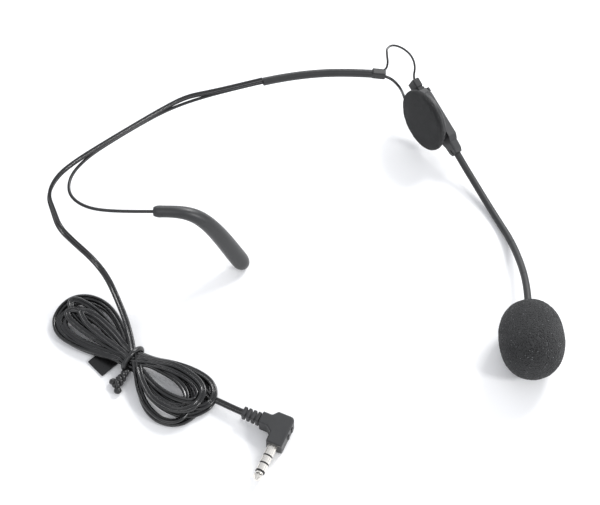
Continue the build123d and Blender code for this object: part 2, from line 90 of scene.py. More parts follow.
def setStudio():
    tilt = math.radians(view["elevation"])
    camera = bpy.data.objects.new("camera", bpy.data.cameras.new("camera"))
    bpy.context.scene.collection.objects.link(camera)
    camera.data.lens = view["lens"]
    camera.data.sensor_width = 36.0
    camera.data.clip_start = 0.01
    camera.data.clip_end = 20.0
    camera.location = Vector(view["target"]) + view["distance"] * Vector((0, -math.cos(tilt), math.sin(tilt)))
    camera.rotation_euler = (math.pi / 2 - tilt, 0, 0)
    bpy.context.scene.camera = camera
    areaLight("keyLight", studio["keyPlace"], studio["keySize"], studio["keyPower"])
    areaLight("fillLight", studio["fillPlace"], studio["fillSize"], studio["fillPower"])
    areaLight("sideLight", studio["sidePlace"], studio["sideSize"], studio["sidePower"])
    areaLight("stripLight", studio["stripPlace"], studio["stripSize"][1], studio["stripPower"],
              width=studio["stripSize"][0])
    bpy.context.scene.view_settings.view_transform = "Standard"  # keeps the paper white and the blacks deep
    world = bpy.data.worlds.new("studio")
    bpy.context.scene.world = world
    world.use_nodes = True
    back = world.node_tree.nodes["Background"]
    back.inputs["Color"].default_value = studio["worldColour"]
    back.inputs["Strength"].default_value = studio["worldStrength"]
    mesh = bpy.data.meshes.new("floor")
    bm = bmesh.new()
    bmesh.ops.create_grid(bm, x_segments=1, y_segments=1, size=3.0)
    bm.to_mesh(mesh)
    bm.free()
    floor = bpy.data.objects.new("floor", mesh)
    bpy.context.scene.collection.objects.link(floor)
    paper = bpy.data.materials.new("studioPaper")
    paper.use_nodes = True
    shader = paper.node_tree.nodes["Principled BSDF"]
    shader.inputs["Base Color"].default_value = studio["floorColour"]
    shader.inputs["Roughness"].default_value = 0.7
    shader.inputs["Specular IOR Level"].default_value = 0.2
    mesh.materials.append(paper)


setStudio()
print("studio set")

# node groups shared by the finishes


def newGroup(name, inputs, outputs):
    group = bpy.data.node_groups.new(name, "ShaderNodeTree")
    for label, kind, value in inputs:
        socket = group.interface.new_socket(label, in_out="INPUT", socket_type=kind)
        socket.default_value = value
    for label, kind in outputs:
        group.interface.new_socket(label, in_out="OUTPUT", socket_type=kind)
    return group, group.nodes.new("NodeGroupInput"), group.nodes.new("NodeGroupOutput")


def mathNode(group, kind, first, second=None, third=None, clamp=False):
    node = group.nodes.new("ShaderNodeMath")
    node.operation = kind
    node.use_clamp = clamp
    for slot, value in enumerate((first, second, third)):
        if value is None:
            continue
        if isinstance(value, (int, float)):
            node.inputs[slot].default_value = value
        else:
            group.links.new(value, node.inputs[slot])
    return node.outputs[0]


def mixColour(group, factor, first, second, blend="MIX"):
    node = group.nodes.new("ShaderNodeMix")
    node.data_type = "RGBA"
    node.blend_type = blend
    for socket, value in ((node.inputs[0], factor), (node.inputs[6], first), (node.inputs[7], second)):
        if isinstance(value, (int, float, tuple)):
            socket.default_value = value
        else:
            group.links.new(value, socket)
    return node.outputs[2]


def noiseNode(group, vector, scale, detail=3.0, rough=0.55):
    node = group.nodes.new("ShaderNodeTexNoise")
    node.inputs["Detail"].default_value = detail
    node.inputs["Roughness"].default_value = rough
    group.links.new(vector, node.inputs["Vector"])
    if isinstance(scale, (int, float)):
        node.inputs["Scale"].default_value = scale
    else:
        group.links.new(scale, node.inputs["Scale"])
    return node.outputs[0]


def cellNode(group, vector, scale):
    node = group.nodes.new("ShaderNodeTexVoronoi")
    group.links.new(vector, node.inputs["Vector"])
    if isinstance(scale, (int, float)):
        node.inputs["Scale"].default_value = scale
    else:
        group.links.new(scale, node.inputs["Scale"])
    return node


def makeMouldGrain():
    # fine moulded or dipped surface: spark-eroded grain, slow waviness and handling marks
    group, ins, outs = newGroup("mouldGrain", [
        ("Colour", "NodeSocketColor", (0.04, 0.04, 0.04, 1)),
        ("Roughness", "NodeSocketFloat", 0.4),
        ("Grain Scale", "NodeSocketFloat", 5000.0),
        ("Grain", "NodeSocketFloat", 0.5),
        ("Marks", "NodeSocketFloat", 0.3),
    ], [("Colour", "NodeSocketColor"), ("Roughness", "NodeSocketFloat"), ("Height", "NodeSocketFloat")])
    place = group.nodes.new("ShaderNodeTexCoord").outputs["Object"]
    fine = noiseNode(group, place, ins.outputs["Grain Scale"], 4.0, 0.6)
    wide = noiseNode(group, place, 160.0, 3.0, 0.5)
    smear = noiseNode(group, place, 620.0, 5.0, 0.7)
    marks = mathNode(group, "MULTIPLY", mathNode(group, "SUBTRACT", smear, 0.5), ins.outputs["Marks"])
    lighter = mixColour(group, 1.0, ins.outputs["Colour"], (1.55, 1.55, 1.6, 1), "MULTIPLY")
    share = mathNode(group, "MULTIPLY", wide, mathNode(group, "ADD", marks, 0.6), clamp=True)
    group.links.new(mixColour(group, share, ins.outputs["Colour"], lighter), outs.inputs["Colour"])
    rough = mathNode(group, "ADD", ins.outputs["Roughness"], mathNode(group, "MULTIPLY", marks, 0.5))
    wavy = mathNode(group, "MULTIPLY", mathNode(group, "SUBTRACT", wide, 0.5), 0.12)
    group.links.new(mathNode(group, "ADD", rough, wavy, clamp=True), outs.inputs["Roughness"])
    grain = mathNode(group, "MULTIPLY", fine, ins.outputs["Grain"])
    group.links.new(mathNode(group, "ADD", grain, mathNode(group, "MULTIPLY", wide, 0.8)), outs.inputs["Height"])
    return group


def makeFoamCells():
    # open-cell foam: dark pores between thin struts, painted near-black as shade, with painted highlights where a
    # few struts catch the light
    group, ins, outs = newGroup("foamCells", [
        ("Strut Colour", "NodeSocketColor", (0.05, 0.05, 0.05, 1)),
        ("Pore Shade Colour", "NodeSocketColor", (0.004, 0.004, 0.004, 1)),
        ("Glint Colour", "NodeSocketColor", (0.3, 0.3, 0.32, 1)),
        ("Cell Scale", "NodeSocketFloat", 2200.0),
        ("Glint Share", "NodeSocketFloat", 0.06),
    ], [("Colour", "NodeSocketColor"), ("Height", "NodeSocketFloat"), ("Roughness", "NodeSocketFloat")])
    place = group.nodes.new("ShaderNodeTexCoord").outputs["Object"]
    cells = cellNode(group, place, ins.outputs["Cell Scale"])
    small = cellNode(group, place, mathNode(group, "MULTIPLY", ins.outputs["Cell Scale"], 2.1))
    wide = noiseNode(group, place, 210.0, 4.0, 0.6)
    pore = mathNode(group, "SMOOTH_MIN", cells.outputs["Distance"], small.outputs["Distance"], 0.3)
    opening = mathNode(group, "MULTIPLY", mathNode(group, "SUBTRACT", pore, 0.12), 2.6, clamp=True)
    # the pores are painted near-black: painted shade between the struts
    body = mixColour(group, opening, ins.outputs["Pore Shade Colour"], ins.outputs["Strut Colour"])
    patchy = mixColour(group, mathNode(group, "MULTIPLY", wide, 0.55), body, (0.012, 0.012, 0.013, 1))
    # a few cells near their centres get a lighter grey and lower roughness: painted highlights on the struts
    pick = cellNode(group, place, mathNode(group, "MULTIPLY", ins.outputs["Cell Scale"], 1.3))
    split = group.nodes.new("ShaderNodeSeparateColor")
    group.links.new(pick.outputs["Color"], split.inputs[0])
    chosen = mathNode(group, "LESS_THAN", split.outputs[0], ins.outputs["Glint Share"])
    near = mathNode(group, "LESS_THAN", pick.outputs["Distance"], 0.32)
    glint = mathNode(group, "MULTIPLY", chosen, near)
    group.links.new(mixColour(group, glint, patchy, ins.outputs["Glint Colour"]), outs.inputs["Colour"])
    group.links.new(mathNode(group, "ADD", opening, mathNode(group, "MULTIPLY", wide, 0.5)), outs.inputs["Height"])
    group.links.new(mathNode(group, "SUBTRACT", 0.98, mathNode(group, "MULTIPLY", glint, 0.5)),
                    outs.inputs["Roughness"])
    return group


def makeTurnedMetal():
    # fine turning lines and light smudges on plated contacts
    group, ins, outs = newGroup("turnedMetal", [
        ("Colour", "NodeSocketColor", (0.8, 0.8, 0.8, 1)),
        ("Roughness", "NodeSocketFloat", 0.16),
        ("Line Scale", "NodeSocketFloat", 900.0),
    ], [("Colour", "NodeSocketColor"), ("Roughness", "NodeSocketFloat"), ("Height", "NodeSocketFloat")])
    place = group.nodes.new("ShaderNodeTexCoord").outputs["Object"]
    along = group.nodes.new("ShaderNodeMapping")
    along.inputs["Rotation"].default_value = (0, 0, 0.42)
    along.inputs["Scale"].default_value = (0.04, 1.0, 0.04)
    group.links.new(place, along.inputs["Vector"])
    lines = noiseNode(group, along.outputs[0], mathNode(group, "MULTIPLY", ins.outputs["Line Scale"], 8.0), 3.0)
    smudge = noiseNode(group, place, 520.0, 4.0, 0.65)
    tone = mathNode(group, "MULTIPLY", smudge, 0.35)
    dark = mixColour(group, 1.0, ins.outputs["Colour"], (0.55, 0.54, 0.52, 1), "MULTIPLY")
    group.links.new(mixColour(group, tone, ins.outputs["Colour"], dark), outs.inputs["Colour"])
    rough = mathNode(group, "ADD", ins.outputs["Roughness"], mathNode(group, "MULTIPLY", smudge, 0.16))
    group.links.new(rough, outs.inputs["Roughness"])
    group.links.new(lines, outs.inputs["Height"])
    return group


mouldGrain = makeMouldGrain()
foamCells = makeFoamCells()
turnedMetal = makeTurnedMetal()


def finish(name, group, values, bump, distance, fixed=()):
    material = bpy.data.materials.new(name)
    material.use_nodes = True
    nodes, links = material.node_tree.nodes, material.node_tree.links
    shader = nodes["Principled BSDF"]
    pattern = nodes.new("ShaderNodeGroup")
    pattern.node_tree = group
    for label, value in values.items():
        pattern.inputs[label].default_value = value
    for label, value in dict(fixed).items():
        shader.inputs[label].default_value = value
    relief = nodes.new("ShaderNodeBump")
    relief.inputs["Strength"].default_value = bump
    relief.inputs["Distance"].default_value = distance
    links.new(pattern.outputs["Colour"], shader.inputs["Base Color"])
    links.new(pattern.outputs["Roughness"], shader.inputs["Roughness"])
    links.new(pattern.outputs["Height"], relief.inputs["Height"])
    links.new(relief.outputs["Normal"], shader.inputs["Normal"])
    return material


def grey(value, cool=0.0):
    return (value, value * (1 + cool / 2), value * (1 + cool), 1)


finishes = {
    "coatedWire": finish("coatedWire", mouldGrain,
                         {"Colour": grey(0.010), "Roughness": 0.34, "Grain Scale": 7000.0, "Grain": 0.3,
                          "Marks": 0.25}, 0.25, 0.00004),
    "tipRubber": finish("tipRubber", mouldGrain,
                        {"Colour": grey(0.018, 0.04), "Roughness": 0.42, "Grain Scale": 6000.0, "Grain": 0.5,
                         "Marks": 0.35}, 0.3, 0.00005, {"Coat Weight": 0.15, "Coat Roughness": 0.35}),
    "sleeveRubber": finish("sleeveRubber", mouldGrain,
                           {"Colour": grey(0.016, 0.03), "Roughness": 0.40, "Grain Scale": 3500.0, "Grain": 0.6,
                            "Marks": 0.4}, 0.35, 0.00008),
    "clipPlastic": finish("clipPlastic", mouldGrain,
                          {"Colour": grey(0.010), "Roughness": 0.5, "Grain Scale": 6000.0, "Grain": 0.5,
                           "Marks": 0.3}, 0.3, 0.00005),
    "shellPlastic": finish("shellPlastic", mouldGrain,
                           {"Colour": grey(0.022, 0.05), "Roughness": 0.46, "Grain Scale": 7500.0, "Grain": 0.8,
                            "Marks": 0.3}, 0.4, 0.00004),
    "grommetRubber": finish("grommetRubber", mouldGrain,
                            {"Colour": grey(0.012), "Roughness": 0.6, "Grain Scale": 5000.0, "Grain": 0.6,
                             "Marks": 0.3}, 0.3, 0.00005),
    "boomJacket": finish("boomJacket", mouldGrain,
                         {"Colour": grey(0.016, 0.03), "Roughness": 0.50, "Grain Scale": 4500.0, "Grain": 0.6,
                          "Marks": 0.35}, 0.3, 0.00006),
    "cableJacket": finish("cableJacket", mouldGrain,
                          {"Colour": grey(0.006), "Roughness": 0.24, "Grain Scale": 2600.0, "Grain": 0.3,
                           "Marks": 0.12}, 0.03, 0.00003, {"Coat Weight": 0.3, "Coat Roughness": 0.1}),
    "tieRubber": finish("tieRubber", mouldGrain,
                        {"Colour": grey(0.010), "Roughness": 0.30, "Grain Scale": 2600.0, "Grain": 0.6,
                         "Marks": 0.5}, 0.4, 0.0001, {"Coat Weight": 0.25, "Coat Roughness": 0.15}),
    "labelFilm": finish("labelFilm", mouldGrain,
                        {"Colour": grey(0.007), "Roughness": 0.28, "Grain Scale": 2500.0, "Grain": 0.3,
                         "Marks": 0.5}, 0.2, 0.00005),
    "plugPlastic": finish("plugPlastic", mouldGrain,
                          {"Colour": grey(0.020, 0.05), "Roughness": 0.44, "Grain Scale": 7000.0, "Grain": 0.8,
                           "Marks": 0.35}, 0.4, 0.00004),
    "boardResin": finish("boardResin", mouldGrain,
                         {"Colour": (0.02, 0.12, 0.05, 1), "Roughness": 0.4, "Grain Scale": 2600.0, "Grain": 0.5,
                          "Marks": 0.3}, 0.3, 0.00005),
    "insulator": finish("insulator", mouldGrain,
                        {"Colour": grey(0.008), "Roughness": 0.3, "Grain Scale": 7000.0, "Grain": 0.4,
                         "Marks": 0.2}, 0.2, 0.00003),
    "contactMetal": finish("contactMetal", turnedMetal,
                           {"Colour": (0.93, 0.90, 0.84, 1), "Roughness": 0.18, "Line Scale": 900.0},
                           0.15, 0.00002, {"Metallic": 1.0}),
    "screwSteel": finish("screwSteel", turnedMetal,
                         {"Colour": (0.52, 0.53, 0.55, 1), "Roughness": 0.28, "Line Scale": 700.0},
                         0.2, 0.00003, {"Metallic": 1.0}),
    "capsuleAluminium": finish("capsuleAluminium", turnedMetal,
                               {"Colour": (0.66, 0.67, 0.69, 1), "Roughness": 0.3, "Line Scale": 500.0},
                               0.2, 0.00003, {"Metallic": 1.0}),
    # windscreen foam: painted shade in the pores and painted highlights on a few struts
    "screenFoam": finish("screenFoam", foamCells,
                         {"Strut Colour": grey(0.050, 0.03), "Pore Shade Colour": grey(0.002), "Cell Scale": 1600.0,
                          "Glint Colour": grey(0.20, 0.05), "Glint Share": 0.05}, 0.9, 0.00045,
                         {"Sheen Weight": 0.12, "Sheen Roughness": 0.5, "Specular IOR Level": 0.2}),
    # pad foam: painted shade in the pores and painted highlights on a few struts
    "padFoam": finish("padFoam", foamCells,
                      {"Strut Colour": grey(0.026, 0.05), "Pore Shade Colour": grey(0.002), "Cell Scale": 2900.0,
                       "Glint Colour": grey(0.22, 0.05), "Glint Share": 0.03}, 0.8, 0.0003,
                      {"Sheen Weight": 0.14, "Sheen Roughness": 0.5, "Specular IOR Level": 0.2}),
}
print(len(finishes), "finishes mixed")


def dress(obj, material):
    obj.data.materials.clear()
    obj.data.materials.append(finishes[material])
    return obj


def addPiece(name, mesh, material, body=None, replaces=(), smooth=True):
    obj = bpy.data.objects.new(name, mesh)
    bpy.context.scene.collection.objects.link(obj)
    dress(obj, material)
    if smooth and obj.type == "MESH":
        for face in mesh.polygons:
            face.use_smooth = True
    if replaces:
        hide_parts(*replaces)
    if body:
        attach(obj, body)
    return obj


def splineCurve(name, points, radii=None, bevel=0.0, steps=8, sides=6, tilts=None):
    curve = bpy.data.curves.new(name, "CURVE")
    curve.dimensions = "3D"
    curve.resolution_u = steps
    curve.bevel_depth = bevel
    curve.bevel_resolution = sides
    curve.use_fill_caps = True
    spline = curve.splines.new("NURBS")
    spline.points.add(len(points) - 1)
    for number, point in enumerate(points):
        spline.points[number].co = (*point, 1)
        if radii:
            spline.points[number].radius = radii[number]
        if tilts:
            spline.points[number].tilt = tilts[number]
    spline.order_u = 3
    spline.use_endpoint_u = True
    return curve


def meshOf(curve):
    holder = bpy.data.objects.new("holder", curve)
    bpy.context.scene.collection.objects.link(holder)
    mesh = bpy.data.meshes.new_from_object(holder)
    bpy.data.objects.remove(holder)
    return mesh


weldGap = 1e-7


def tubeMesh(name, points, bevel, radii=None, steps=8, sides=6):
    mesh = meshOf(splineCurve(name, points, radii, bevel, steps, sides))
    mesh.name = name
    bm = bmesh.new()
    bm.from_mesh(mesh)
    bmesh.ops.remove_doubles(bm, verts=bm.verts, dist=weldGap)
    bmesh.ops.recalc_face_normals(bm, faces=bm.faces)
    bm.to_mesh(mesh)
    bm.free()
    return mesh


def linePoints(points, steps=8):
    mesh = meshOf(splineCurve("line", points, steps=steps))
    return [v.co.copy() for v in mesh.vertices]


# the flat twin cable: along the arm, down to the hank, round its turns and out to the plug

cable = {
    "width": 0.0025,
    "length": 1.2,
    "tieCentre": (-0.0656, -0.0543, 0.00475),
    "tieAlong": (0.817, -0.577, 0.0),
    "tieAcross": (0.577, 0.817, 0.0),
    # each turn's length and width as shares of the plain turn, its swing to the side, height in metres and tilt
    "leftTurns": [
        (1.0, 1.0, 0.0, 0.0009, 0.5), (1.04, 1.10, 0.01, 0.0018, -0.6), (0.95, 0.72, -0.06, 0.0028, 0.4),
        (0.87, 0.50, -0.10, 0.0036, 0.8), (0.97, 0.36, 0.10, 0.0045, -0.5), (0.90, 0.30, -0.02, 0.0053, 0.3),
        (0.78, 0.24, 0.05, 0.0060, -0.2),
    ],
    "rightTurns": [
        (1.0, 1.0, 0.0, 0.0010, -0.4), (1.07, 0.80, 0.12, 0.0020, 0.6), (0.92, 0.72, -0.14, 0.0029, -0.7),
        (1.06, 0.66, 0.16, 0.0036, 0.5), (0.84, 0.42, -0.06, 0.0045, -0.3), (0.93, 0.40, 0.06, 0.0053, 0.6),
        (0.98, 0.72, 0.02, 0.0060, 0.2),
    ],
    "leftMiddle": -0.06,
    "rightMiddle": -0.03,
    "wobble": 0.0003,
}
armRoute = [
    (-0.0196, 0.0500, 0.0376),
    (-0.0290, 0.0470, 0.0376),
    (-0.0395, 0.0439, 0.0376),
    (-0.0486, 0.0416, 0.0376),
    (-0.0573, 0.0356, 0.0376),
    (-0.0665, 0.0284, 0.0376),
    (-0.0780, 0.0192, 0.0376),
    (-0.0880, 0.0108, 0.0376),
    (-0.0942, 0.0040, 0.0376),
    (-0.0970, -0.0036, 0.0366),
    (-0.0949, -0.0086, 0.0332),
]
dropRoute = [
    (-0.0928, -0.0136, 0.0298),
    (-0.0884, -0.0155, 0.0235),
    (-0.0820, -0.0179, 0.0154),
    (-0.0770, -0.0223, 0.0099),
    (-0.0729, -0.0304, 0.0074),
    (-0.0690, -0.0396, 0.0070),
    (-0.0666, -0.0476, 0.0068),
]
tailRoute = [
    (-0.0380, -0.0686, 0.0026),
    (-0.0335, -0.0708, 0.0029),
    (-0.0286, -0.0736, 0.0034),
    (-0.0249, -0.0754, 0.0036),
]
# one turn of the hank: along the tie and across it
rightLobe = [
    (0.0050, -0.0042), (0.0100, -0.0088), (0.0155, -0.0122), (0.0215, -0.0131), (0.0270, -0.0112),
    (0.0303, -0.0068), (0.0312, -0.0010), (0.0300, 0.0046), (0.0265, 0.0082), (0.0205, 0.0096),
    (0.0135, 0.0086), (0.0065, 0.0046),
]
leftLobe = [
    (-0.0060, 0.0038), (-0.0140, 0.0088), (-0.0220, 0.0118), (-0.0292, 0.0114), (-0.0344, 0.0080),
    (-0.0362, 0.0022), (-0.0342, -0.0034), (-0.0290, -0.0066), (-0.0210, -0.0064), (-0.0128, -0.0046),
    (-0.0060, -0.0030),
]
# places of the strands inside the tie: across it and above its middle
strandSlots = [
    (-0.0024, -0.0022), (0.0024, -0.0022), (0.0, -0.0022), (-0.0026, -0.0010), (0.0026, -0.0010), (0.0, -0.0010),
    (-0.0026, 0.0001), (0.0026, 0.0001), (0.0, 0.0001), (-0.0024, 0.0012), (0.0024, 0.0012), (0.0, 0.0012),
    (-0.0015, 0.0022), (0.0015, 0.0022), (0.0004, 0.0025),
]


def hankPoint(along, across, height):
    base = Vector(cable["tieCentre"]) + along * Vector(cable["tieAlong"]) + across * Vector(cable["tieAcross"])
    return (base.x, base.y, height)


def hankRoute():
    rng = random.Random(11)
    points, tilts = [], []
    middle = cable["tieCentre"][2]

    def crossing(number):
        across, above = strandSlots[number]
        points.append(hankPoint(0.0, across, middle + above))
        tilts.append(0.0)

    def lobe(template, turn, middleSlope):
        size, width, swing, height, slant = turn
        last = len(template) - 1
        for number, (along, across) in enumerate(template):
            reach = math.sin(math.pi * number / last)
            lift = height + (middle - height) * (1 - reach) ** 2 * 0.8
            shake = cable["wobble"]
            centreline = middleSlope * along
            side = centreline + (across - centreline) * width + swing * abs(along)
            points.append(hankPoint(along * size + rng.uniform(-shake, shake),
                                    side + rng.uniform(-shake, shake), lift))
            tilts.append(slant * reach)

    crossing(14)
    for number, (rightTurn, leftTurn) in enumerate(zip(cable["rightTurns"], cable["leftTurns"])):
        lobe(rightLobe, rightTurn, cable["rightMiddle"])
        crossing(2 * number + 1)
        lobe(leftLobe, leftTurn, cable["leftMiddle"])
        crossing(2 * number)
    for along, across, height in ((0.0065, 0.0030, 0.0052), (0.0140, 0.0072, 0.0040), (0.0215, 0.0078, 0.0030),
                                  (0.0270, 0.0062, 0.0026)):
        points.append(hankPoint(along, across, height))
        tilts.append(0.0)
    return points, tilts


def twinProfile():
    # two round cores side by side with a shallow groove between them
    outline = [(1.25, 0.0), (1.12, 0.52), (0.62, 0.74), (0.22, 0.50), (0.0, 0.26), (-0.22, 0.50), (-0.62, 0.74),
               (-1.12, 0.52), (-1.25, 0.0), (-1.12, -0.52), (-0.62, -0.74), (-0.22, -0.50), (0.0, -0.26),
               (0.22, -0.50), (0.62, -0.74), (1.12, -0.52)]
    curve = bpy.data.curves.new("twinProfile", "CURVE")
    curve.dimensions = "2D"
    curve.resolution_u = 2
    spline = curve.splines.new("NURBS")
    spline.points.add(len(outline) - 1)
    unit = cable["width"] / 2 / max(x for x, y in outline)
    for point, (x, y) in zip(spline.points, outline):
        point.co = (x * unit, y * unit, 0, 1)
    spline.use_cyclic_u = True
    spline.order_u = 3
    return bpy.data.objects.new("twinProfile", curve)


def makeCable():
    hankPoints, hankTilts = hankRoute()
    points = armRoute + dropRoute + hankPoints + tailRoute
    armTilts = [1.45, 1.45, 1.4, 1.35, 1.3, 1.3, 1.3, 1.35, 1.4, 1.3, 0.9]
    dropTilts = [0.5, 0.3, 0.25, 0.2, 0.15, 0.1, 0.0]
    tilts = armTilts + dropTilts + hankTilts + [0.0] * len(tailRoute)
    curve = splineCurve("twinCable", points, steps=6, tilts=tilts)
    curve.twist_mode = "Z_UP"
    curve.bevel_mode = "OBJECT"
    curve.bevel_object = twinProfile()
    obj = addPiece("twinCable", curve, "cableJacket", "frame",
                   ("cable_arm", "cable_drop", "cable_hank", "cable_tail"))
    return obj


twinCable = makeCable()
print("cable laid")

# the slack lead between the sleeve's end and the housing

lead = {"radius": 0.00045, "length": 0.045}
leadRoute = [
    (0.0246, 0.0541, 0.03708),
    (0.0280, 0.0546, 0.0373),
    (0.0293, 0.0576, 0.0382),
    (0.0289, 0.0614, 0.0393),
    (0.0290, 0.0646, 0.0398),
    (0.0317, 0.0669, 0.0389),
    (0.0360, 0.0679, 0.0356),
    (0.0397, 0.0678, 0.0310),
    (0.0412, 0.0662, 0.0264),
    (0.04053, 0.06451, 0.02172),
    (0.04172, 0.06247, 0.02002),
]


def makeLead():
    mesh = tubeMesh("slackLead", leadRoute, lead["radius"], steps=12, sides=5)
    obj = addPiece("slackLead", mesh, "cableJacket", None, ("slack_lead",))
    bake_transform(obj)
    return obj


slackLead = makeLead()
linePoints(leadRoute, 12)
print("slack lead laid")

# the spring wire of the neckband, one piece round the rear bend

wire = {"radius": 0.0006}
wireRoute = [
    (0.04241, 0.05385, 0.00776), (0.04066, 0.05668, 0.00886), (0.03908, 0.05928, 0.01016),
    (0.03777, 0.06107, 0.01258), (0.03667, 0.06120, 0.01599), (0.0352, 0.0574, 0.0232),
    (0.0332, 0.0543, 0.0300), (0.0310, 0.0533, 0.0340), (0.0280, 0.0535, 0.0358), (0.0238, 0.0541, 0.036),
    (0.0145, 0.0546, 0.036), (0.0056, 0.0545, 0.036), (-0.0069, 0.0530, 0.036), (-0.0193, 0.0501, 0.036),
    (-0.0281, 0.0474, 0.036), (-0.0399, 0.0435, 0.036), (-0.0490, 0.0398, 0.036), (-0.0575, 0.0352, 0.036),
    (-0.0666, 0.0285, 0.036), (-0.0741, 0.0225, 0.036), (-0.0819, 0.0159, 0.036), (-0.0866, 0.0104, 0.036),
    (-0.0892, 0.0056, 0.036), (-0.0899, 0.0010, 0.036), (-0.0891, -0.0028, 0.036), (-0.0869, -0.0058, 0.036),
    (-0.0835, -0.0082, 0.036), (-0.0789, -0.0098, 0.036), (-0.0725, -0.0105, 0.036), (-0.0653, -0.0107, 0.036),
    (-0.0574, -0.0107, 0.036), (-0.0500, -0.0106, 0.0356), (-0.0450, -0.0105, 0.0341),
]


def makeWire():
    mesh = tubeMesh("neckbandWire", wireRoute, wire["radius"], steps=6, sides=4)
    obj = addPiece("neckbandWire", mesh, "coatedWire", None, ("neckband_wire", "near_arm_wire"))
    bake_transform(obj)
    return obj


makeWire()
print("neckband wire bent")

# the ear tip over the near arm's end

earTip = {
    "route": [
        (-0.0580, -0.0107, 0.0360), (-0.0574, -0.0107, 0.0360), (-0.0560, -0.0107, 0.0360),
        (-0.0545, -0.0107, 0.0360), (-0.0515, -0.0107, 0.0359), (-0.0485, -0.0106, 0.0354),
        (-0.0455, -0.0105, 0.0343), (-0.0425, -0.0104, 0.0322), (-0.0397, -0.0104, 0.0289),
        (-0.0370, -0.0105, 0.0245), (-0.0345, -0.0107, 0.0196), (-0.0320, -0.0110, 0.0141),
        (-0.0297, -0.0113, 0.0088), (-0.0284, -0.0114, 0.0058), (-0.0274, -0.0115, 0.0034),
        (-0.0266, -0.0116, 0.0017), (-0.0262, -0.01165, 0.0009), (-0.02595, -0.0117, 0.0003),
    ],
    "radii": [0.00160, 0.00200, 0.00228, 0.00220, 0.00224, 0.00234, 0.00250, 0.00270, 0.00290, 0.00308, 0.00324,
              0.00334, 0.00339, 0.00341, 0.00332, 0.00265, 0.00185, 0.00040],
}


def makeEarTip():
    mesh = tubeMesh("earTip", earTip["route"], 1.0, radii=earTip["radii"], steps=10, sides=10)
    return addPiece("earTip", mesh, "tipRubber", "near_arm", ("ear_tip",))


makeEarTip()
print("ear tip fitted")

# the gooseneck: one smooth jacket, cut at each joint, with a ball of the same size inside each cut

boom = {
    "radius": 0.00138,
    "ballRadius": 0.0013662,
    "route": [
        (0.05579, 0.03970, 0.00994), (0.05776, 0.03649, 0.00858), (0.0606, 0.0318, 0.0064),
        (0.0648, 0.0245, 0.0040), (0.0690, 0.0164, 0.0023), (0.0730, 0.0082, 0.00145),
        (0.0763, 0.0002, 0.0021), (0.0784, -0.0088, 0.0040), (0.0796, -0.0190, 0.0067),
        (0.0797, -0.0290, 0.0090), (0.07896, -0.04134, 0.01064),
    ],
    "joints": [(0.06181, 0.02976, 0.00559), (0.07016, 0.01407, 0.00194), (0.07711, -0.00257, 0.00259),
               (0.07965, -0.01999, 0.00696)],
    "bodies": ["boom_housing", "boom_link_2", "boom_link_3", "boom_link_4", "mic_head"],
}


def makeBoom():
    whole = tubeMesh("boomWhole", boom["route"], boom["radius"], steps=16, sides=6)
    line = linePoints(boom["route"], 16)
    inner = range(1, len(line) - 1)
    places = [min(inner, key=lambda k: (line[k] - Vector(joint)).length) for joint in boom["joints"]]
    centres = [line[k] for k in places]
    ways = [(line[k + 1] - line[k - 1]).normalized() for k in places]
    for number, body in enumerate(boom["bodies"]):
        bm = bmesh.new()
        bm.from_mesh(whole)
        if number > 0:
            bmesh.ops.bisect_plane(bm, geom=bm.verts[:] + bm.edges[:] + bm.faces[:], plane_co=centres[number - 1],
                                   plane_no=ways[number - 1], clear_inner=True)
        if number < len(centres):
            bmesh.ops.bisect_plane(bm, geom=bm.verts[:] + bm.edges[:] + bm.faces[:], plane_co=centres[number],
                                   plane_no=ways[number], clear_outer=True)
        bmesh.ops.holes_fill(bm, edges=[e for e in bm.edges if e.is_boundary], sides=0)
        if number > 0:
            knuckle = bmesh.ops.create_icosphere(bm, subdivisions=4, radius=boom["ballRadius"])["verts"]
            bmesh.ops.translate(bm, vec=centres[number - 1], verts=knuckle)
        bmesh.ops.recalc_face_normals(bm, faces=bm.faces)
        mesh = bpy.data.meshes.new(f"boomJacket{number + 1}")
        bm.to_mesh(mesh)
        bm.free()
        addPiece(mesh.name, mesh, "boomJacket", body, (f"gooseneck_{number + 1}",))


makeBoom()
print("gooseneck jacketed")

# the foam windscreen

screen = {
    "centre": (0.0786, -0.0502, 0.01215),
    "axis": (-0.04, -0.985, 0.168),
    "radius": 0.01185,
    "halfLength": 0.0151,
    "square": 2.4,
    "dimpleRadius": 0.0072,
    "dimpleDepth": 0.0024,
    "dimplePower": 1.5,
    "cellsPerUnit": 1900.0,
    "cellMiddle": 0.75,
    "wavesPerUnit": 190.0,
    "waveShare": 0.7,
    "roughness": 0.00022,
}


def axisFrame(centre, axis, xDirection):
    z = Vector(axis).normalized()
    x = (Vector(xDirection) - Vector(xDirection).dot(z) * z).normalized()
    y = z.cross(x)
    turn = Matrix((x, y, z)).transposed().to_4x4()
    return Matrix.Translation(centre) @ turn


